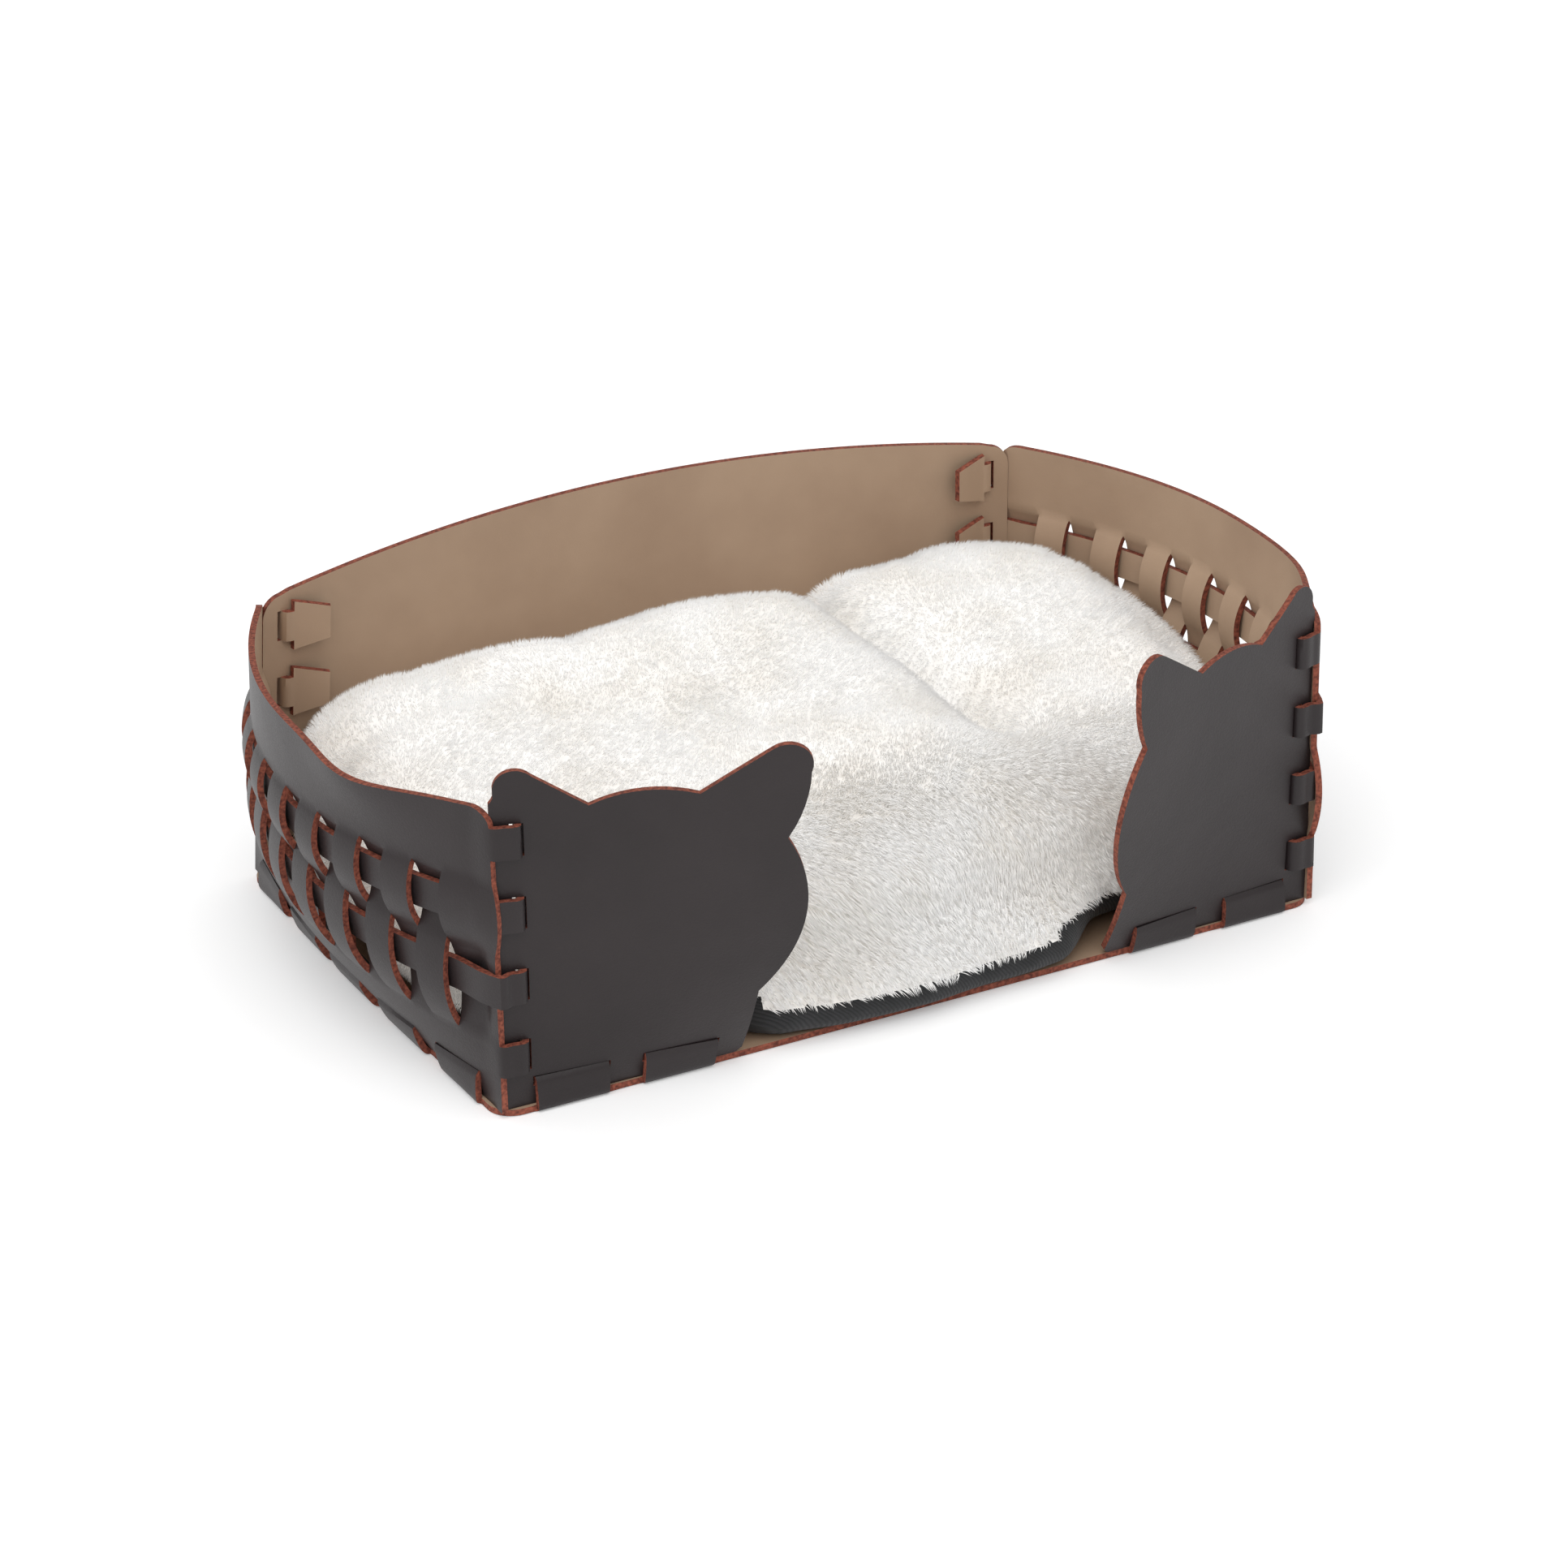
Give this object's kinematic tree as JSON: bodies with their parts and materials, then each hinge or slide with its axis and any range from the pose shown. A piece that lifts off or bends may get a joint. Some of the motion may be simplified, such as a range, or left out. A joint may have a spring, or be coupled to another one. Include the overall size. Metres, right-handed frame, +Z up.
{
  "type": "pet bed",
  "caption": "Pet bed of slotted leather sheets with woven side walls, cat-head front panels and a loose fur cushion.",
  "frame": {"origin": "centre of the base panel's underside, on the floor", "axes": "+X to the bed's right seen from the entrance, +Y from the entrance to the back wall, +Z up"},
  "size_m": [0.671, 0.4601, 0.2286],
  "materials": {
    "leather_sheet": "dark brown bonded leather, taupe inside, red-brown cut edges",
    "leather_strap": "the same leather, as the woven straps",
    "white_fur": "long-pile faux fur, off-white",
    "dark_cloth": "fine ribbed charcoal cloth",
    "fibre_filling": "loose polyester fibre"
  },
  "bodies": {
    "bed": {"base_panel": "leather_sheet", "back_panel": "leather_sheet", "side_panel_left": "leather_sheet", "side_panel_right": "leather_sheet", "front_panel_left": "leather_sheet", "front_panel_right": "leather_sheet", "weave_strap_left_upper": "leather_strap", "weave_strap_left_lower": "leather_strap", "weave_strap_right_upper": "leather_strap", "weave_strap_right_lower": "leather_strap"},
    "cushion": {"cushion_fur_cover": "white_fur", "cushion_underside": "dark_cloth", "cushion_filling": "fibre_filling"}
  },
  "joints": [
    {"name": "cushion_lift", "type": "slide", "parent": "bed", "child": "cushion", "axis": [0, 0, 1], "range_m": [0, 0.26]}
  ]
}
